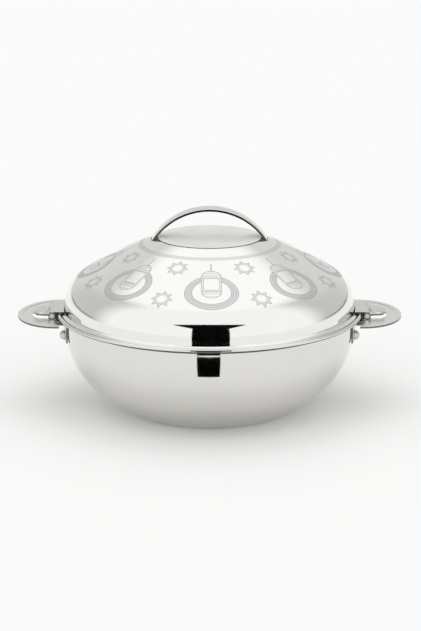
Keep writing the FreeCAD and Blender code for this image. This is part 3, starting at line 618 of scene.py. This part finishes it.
# Painted shade: the strap's long edge faces are darkened in colour
shaded_edges(strap_steel, (0, 1, 0), "#2A2A28")
bpy.ops.object.select_all(action="DESELECT")
bpy.ops.mesh.primitive_plane_add(size=MM, rotation=(0, math.pi / 2, 0),
                                 location=(foot_end * MM, 0, (bend[1] - bend_middle) * MM))
strap = bpy.context.object
strap.name = "strap_handle"
strap.scale = (strap_sheet, strap_width, 1.0)
bpy.ops.object.transform_apply(location=True, rotation=True, scale=True)
bpy.ops.object.mode_set(mode="EDIT")
bpy.ops.mesh.select_all(action="SELECT")
bpy.ops.mesh.bevel(offset=strap_round * MM, segments=4, affect="VERTICES")
bpy.ops.mesh.extrude_region_move(TRANSFORM_OT_translate={"value": (foot_length * MM, 0, 0)})
bpy.ops.mesh.spin(steps=14, angle=math.pi / 2 + bend_angle, axis=(0, 1, 0),
                  center=(bend[0] * MM, 0, bend[1] * MM))
bpy.ops.mesh.spin(steps=96, angle=math.pi - 2 * bend_angle, axis=(0, 1, 0),
                  center=(0, 0, strap_centre * MM))
bpy.ops.mesh.spin(steps=14, angle=math.pi / 2 + bend_angle, axis=(0, 1, 0),
                  center=(-bend[0] * MM, 0, bend[1] * MM))
bpy.ops.mesh.extrude_region_move(TRANSFORM_OT_translate={"value": (foot_length * MM, 0, 0)})
bpy.ops.mesh.select_all(action="SELECT")
bpy.ops.mesh.remove_doubles(threshold=merge_distance)
bpy.ops.mesh.normals_make_consistent(inside=False)
bpy.ops.object.mode_set(mode="OBJECT")
bpy.ops.object.shade_smooth_by_angle(angle=math.radians(35))
strap.data.materials.append(strap_steel)
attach(strap, "lid")
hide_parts("lid_handle")


# Ear handles and locks. Each ear is pressed from thick sheet, tumbled to soft edges and a satin
# sheen, and riveted to the wall by a curved bracket. The lock lever is a pressing too, with a
# claw, a rolled knuckle and a domed thumb pad, polished like the bracket. Both sides are alike.
ear_steel = steel("satin_pressed_stainless_steel", "#EAEAE8", 0.27, 0.8, 0.003, False)
bracket_steel = steel("polished_bracket_stainless_steel", "#BEBEBB", 0.18, 0.8, 0.002, False)
lever_steel = steel("polished_lever_stainless_steel", "#DDDDDA", 0.15, 1.0, 0.002, False)
# Painted shade: the edge faces of the ears, brackets and levers are darkened in colour
shaded_edges(ear_steel, (1, 1, 0), "#5A5A58")
shaded_edges(bracket_steel, (0, 1, 0), "#4A4A48")
shaded_edges(lever_steel, (1, 1, 0), "#4A4A48")


def softened(source, name, edge):
    """A copy of a solid with its sharp edges rounded by a radius in mm."""
    piece = bpy.data.objects.new(name, nodes[source].data.copy())
    bpy.context.collection.objects.link(piece)
    bpy.ops.object.select_all(action="DESELECT")
    bpy.context.view_layer.objects.active = piece
    piece.select_set(True)
    bpy.ops.mesh.customdata_custom_splitnormals_clear()
    bpy.ops.object.mode_set(mode="EDIT")
    bpy.ops.mesh.select_all(action="SELECT")
    bpy.ops.mesh.remove_doubles(threshold=2 * merge_distance)
    bpy.ops.mesh.select_all(action="SELECT")
    bpy.ops.mesh.dissolve_limited(angle_limit=math.radians(0.8))
    bpy.ops.object.mode_set(mode="OBJECT")
    bpy.ops.object.shade_smooth_by_angle(angle=smooth_angle)
    rounding = piece.modifiers.new("rounded edges", "BEVEL")
    rounding.width = edge * MM
    rounding.segments = 3
    rounding.limit_method = "ANGLE"
    rounding.angle_limit = math.radians(35)
    rounding.use_clamp_overlap = False
    rounding.harden_normals = True
    bpy.ops.object.modifier_apply(modifier=rounding.name)
    return piece


for side in ("left", "right"):
    for source, edge, material, body, slot in (
            ("ear_plate", 0.18, ear_steel, "pot", "satin_steel"),
            ("ear_bracket", 0.3, bracket_steel, "pot", "satin_steel"),
            ("lock_lever", 0.25, lever_steel, side + "_lock", "polished_steel")):
        piece = softened(source + "_" + side, source + "_pressing_" + side, edge)
        piece.data.materials.clear()
        piece.data.materials.append(material)
        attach(piece, body)
        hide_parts(source + "_" + side)


# Fasteners. Rivets, pins, springs, screws, nuts and washers are bought stainless parts, with
# the dull gloss that tumbling gives.
fastener_steel = steel("tumbled_stainless_wire", "#CFCFCC", 0.22, 0.5, 0.003, False)
for name in ("ear_rivets", "lock_pin", "rivet_washers"):
    for side in ("_left", "_right"):
        for slot in nodes[name + side].material_slots:
            slot.material = fastener_steel
for name in ("lid_handle_screws", "lid_handle_nuts"):
    for slot in nodes[name].material_slots:
        slot.material = fastener_steel

# Torsion springs. On the lock, one leg stays on the ear and the other turns with the lever, so that
# the coil winds up as the pad is pressed. Here each spring is a still copy of its solid.
for side, sign in (("left", -1), ("right", 1)):
    spring = bpy.data.objects.new("torsion_spring_" + side, nodes["lock_spring_" + side].data.copy())
    bpy.context.collection.objects.link(spring)
    spring.data.materials.clear()
    spring.data.materials.append(fastener_steel)
    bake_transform(spring)
    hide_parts("lock_spring_" + side)


# Studio. A matt white floor in a white tent that is bright overhead and in front and grey
# behind, with a dark gap low down at the back on each side. A black card, as a photographer
# stands one up before polished metal, puts the dark patches in the steel.
paper_glow = 0.08
card_y = -0.235
front_level = 1.05
top_level = 1.12
top_way = (0, 0.31, 0.951)
back_level = 0.74
side_level = 0.62
seam_height = 0.035
seam_depth = 0.7
matt_share = 0.84


def seen_directly(tree):
    """1 for a ray from the camera, from a gloss or through glass, and 0 for diffuse light."""
    ray = add_node(tree, "ShaderNodeLightPath")
    seen = ray.outputs["Is Camera Ray"]
    for kind in ("Is Glossy Ray", "Is Transmission Ray"):
        seen = add_node(tree, "ShaderNodeMath", {"operation": "MAXIMUM"},
                        {0: seen, 1: ray.outputs[kind]}).outputs[0]
    return seen


bpy.ops.object.select_all(action="DESELECT")
bpy.ops.mesh.primitive_plane_add(size=24, location=(0, 0, 0))
floor = bpy.context.object
floor.name = "studio_floor"
paper = bpy.data.materials.new("white_paper_sweep")
paper.use_nodes = True
tree = paper.node_tree
tree.nodes.clear()
place = add_node(tree, "ShaderNodeTexCoord").outputs["Object"]
fibres = add_node(tree, "ShaderNodeTexNoise", None, {"Vector": place, "Scale": 260.0, "Detail": 3.0})
colour = add_node(tree, "ShaderNodeMix", {"data_type": "RGBA"},
                  {"Factor": fibres.outputs["Fac"], 6: linear("#FDFDFD"), 7: linear("#FBFBFB")})
shader = add_node(tree, "ShaderNodeBsdfPrincipled", None,
                  {"Base Color": colour.outputs[2], "Roughness": 0.95, "Specular IOR Level": 0.0})
share = add_node(tree, "ShaderNodeMath", {"operation": "MULTIPLY"},
                 {0: seen_directly(tree), 1: paper_glow})
white = add_node(tree, "ShaderNodeEmission", None, {"Color": linear("#FAFAFA"), "Strength": 1.0})
paper_look = add_node(tree, "ShaderNodeMixShader", None,
                      {0: share.outputs[0], 1: shader.outputs[0], 2: white.outputs[0]})
add_node(tree, "ShaderNodeOutputMaterial", None, {"Surface": paper_look.outputs[0]})
floor.data.materials.append(paper)

lower_shape = [(-0.0278, 0.0), (-0.0278, 0.0612), (0.0238, 0.0612), (0.0238, 0.0)]
upper_shape = [(-0.0392, 0.071), (-0.0392, 0.157), (-0.092, 0.184), (-0.092, 0.188),
               (0.092, 0.188), (0.092, 0.184), (0.0452, 0.157), (0.0452, 0.071)]
corners = [(x, card_y, z) for x, z in lower_shape + upper_shape]
faces = [(0, 1, 2, 3), (4, 5, 6, 7, 8, 9, 10, 11)]
card_mesh = bpy.data.meshes.new("black_card")
card_mesh.from_pydata(corners, [], faces)
card = bpy.data.objects.new("black_card", card_mesh)
bpy.context.collection.objects.link(card)
card.visible_camera = False
card.visible_diffuse = False
card.visible_shadow = False
black = bpy.data.materials.new("black_flock_card")
black.use_nodes = True
black.node_tree.nodes["Principled BSDF"].inputs["Base Color"].default_value = linear("#0A0A0A")
black.node_tree.nodes["Principled BSDF"].inputs["Roughness"].default_value = 1.0
black.node_tree.nodes["Principled BSDF"].inputs["Specular IOR Level"].default_value = 0.0
card.data.materials.append(black)

world = bpy.data.worlds.new("white_studio")
bpy.context.scene.world = world
world.use_nodes = True
tree = world.node_tree
tree.nodes.clear()
way = add_node(tree, "ShaderNodeTexCoord").outputs["Generated"]
aim = add_node(tree, "ShaderNodeSeparateXYZ", None, {0: way})
sideways = add_node(tree, "ShaderNodeMath", {"operation": "ABSOLUTE"}, {0: aim.outputs["X"]}).outputs[0]
to_top = add_node(tree, "ShaderNodeVectorMath", {"operation": "DOT_PRODUCT"}, {0: way, 1: top_way})
off_seam = add_node(tree, "ShaderNodeMath", {"operation": "SUBTRACT"},
                    {0: aim.outputs["Z"], 1: seam_height})
off_seam = add_node(tree, "ShaderNodeMath", {"operation": "ABSOLUTE"}, {0: off_seam.outputs[0]})

# Each row is a smooth step of the aim: where it starts and ends, and its level at each end
sky = {}
for name, value, start, end, level_at_start, level_at_end in (
        ("front", aim.outputs["Y"], 0.3, -0.15, 0.0, 1.0),
        ("grey", sideways, 0.3, 0.8, back_level, side_level),
        ("top", to_top.outputs["Value"], 0.78, 0.92, 0.0, 1.0),
        ("seam", off_seam.outputs[0], 0.006, 0.018, seam_depth, 0.0),
        ("sides", sideways, 0.5, 0.68, 0.0, 1.0),
        ("back", aim.outputs["Y"], 0.1, 0.3, 0.0, 1.0)):
    step = add_node(tree, "ShaderNodeMapRange", {"interpolation_type": "SMOOTHSTEP"},
                    {"Value": value, "From Min": start, "From Max": end,
                     "To Min": level_at_start, "To Max": level_at_end})
    sky[name] = step.outputs[0]
level = add_node(tree, "ShaderNodeMix", None, {"Factor": sky["front"], 2: sky["grey"], 3: front_level})
level = add_node(tree, "ShaderNodeMix", None, {"Factor": sky["top"], 2: level.outputs[0], 3: top_level})
seam = add_node(tree, "ShaderNodeMath", {"operation": "MULTIPLY"}, {0: sky["seam"], 1: sky["sides"]})
seam = add_node(tree, "ShaderNodeMath", {"operation": "MULTIPLY"}, {0: seam.outputs[0], 1: sky["back"]})
kept = add_node(tree, "ShaderNodeMath", {"operation": "SUBTRACT"}, {0: 1.0, 1: seam.outputs[0]})
level = add_node(tree, "ShaderNodeMath", {"operation": "MULTIPLY"},
                 {0: level.outputs[0], 1: kept.outputs[0]})

# The tent walls are dimmer for matt things than in the metal, and the softbox makes up for it
share = add_node(tree, "ShaderNodeMapRange", None,
                 {"Value": seen_directly(tree), "To Min": matt_share, "To Max": 1.0})
level = add_node(tree, "ShaderNodeMath", {"operation": "MULTIPLY"},
                 {0: level.outputs[0], 1: share.outputs[0]})
backdrop = add_node(tree, "ShaderNodeBackground", None,
                    {"Color": linear("#FFFFFE"), "Strength": level.outputs[0]})
add_node(tree, "ShaderNodeOutputWorld", None, {"Surface": backdrop.outputs[0]})

lamp_data = bpy.data.lights.new("overhead_softbox", "SUN")
lamp_data.energy = 0.55
lamp_data.angle = math.radians(60)
lamp = bpy.data.objects.new("overhead_softbox", lamp_data)
lamp.rotation_euler = (math.radians(8), 0, 0)
lamp.visible_glossy = False
bpy.context.collection.objects.link(lamp)

camera_data = bpy.data.cameras.new("camera")
camera_data.sensor_width = 36.0
camera_data.lens = 114.1
camera = bpy.data.objects.new("camera", camera_data)
camera.location = (0.0009, -1.899, 0.5988)
camera.rotation_euler = (math.radians(75), 0, 0)
bpy.context.collection.objects.link(camera)
bpy.context.scene.camera = camera
bpy.context.scene.view_settings.view_transform = "Standard"
